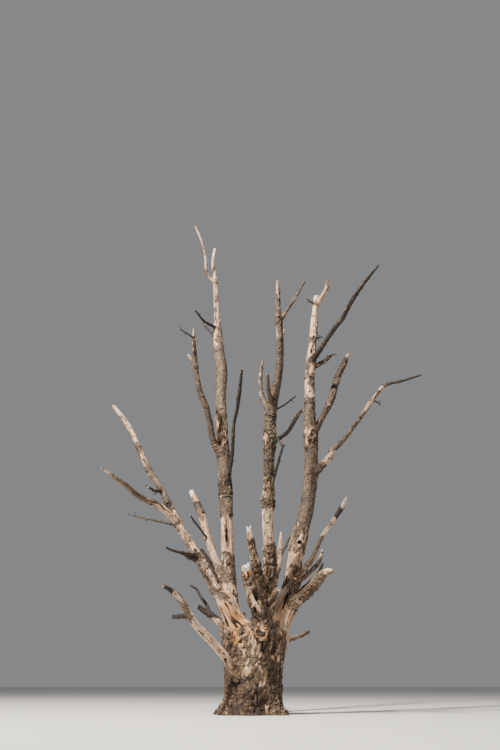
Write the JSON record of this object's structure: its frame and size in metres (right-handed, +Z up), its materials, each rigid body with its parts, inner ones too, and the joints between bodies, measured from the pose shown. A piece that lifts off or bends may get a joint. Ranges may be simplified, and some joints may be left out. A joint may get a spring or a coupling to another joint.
{
  "type": "dead tree",
  "caption": "Dead, leafless, many-stemmed tree: a short flared trunk, tall leaning stems and broken, snapped boughs with patches of bark and bare wood.",
  "frame": {"origin": "middle of the flat cut at ground level, under the trunk", "axes": "+Z up; +X to the right and -Y towards the viewer of the picture"},
  "size_m": [5.0635, 3.0435, 8.6108],
  "materials": {
    "bark": "rough grey-brown bark",
    "mottled": "patchy bark over bare wood",
    "bleached": "sun-bleached bare wood",
    "weathered": "dark weathered wood",
    "twig": "dry dark twigs"
  },
  "bodies": {
    "root": {"trunk": "mottled", "left_stem": "bleached", "tall_stem": "bark", "middle_stem": "bark", "right_stem": "mottled", "low_left_bough": "bleached", "low_left_stub": "weathered", "mid_left_bough": "weathered", "mid_left_twig": "weathered", "short_stump": "bleached", "front_ring_stub": "mottled", "base_stub": "weathered", "low_right_bough": "mottled", "low_right_stub": "bleached", "left_main_bough": "mottled", "left_thin_twig": "twig", "left_knob_twig": "weathered", "left_upper_spur": "twig", "dark_left_limb": "weathered", "pale_stub": "bleached", "pale_stub_twig": "twig", "tall_left_bough": "mottled", "tall_left_bough_twig": "twig", "tall_left_bough_stub": "bleached", "tall_right_bough": "weathered", "tall_upper_twig": "twig", "tall_lower_twig": "twig", "tall_top_fork": "bleached", "middle_stump": "mottled", "middle_side_stub": "bleached", "middle_side_twig": "twig", "middle_dark_shoot": "weathered", "middle_right_bough": "weathered", "middle_strip": "twig", "middle_hook": "mottled", "middle_inner_stub": "mottled", "middle_thin_twig": "twig", "middle_upper_stub": "bleached", "middle_top_fork": "mottled", "front_stub": "mottled", "front_knob": "mottled", "right_thick_bough": "mottled", "right_dark_shoot": "weathered", "right_low_shoot": "mottled", "right_low_bough": "mottled", "right_wide_bough": "mottled", "right_wide_twig": "twig", "right_second_bough": "mottled", "right_short_stub": "weathered", "right_long_bough": "weathered", "right_upper_twig": "twig", "right_top_fork": "bleached", "right_top_spur": "twig"}
  },
  "joints": []
}
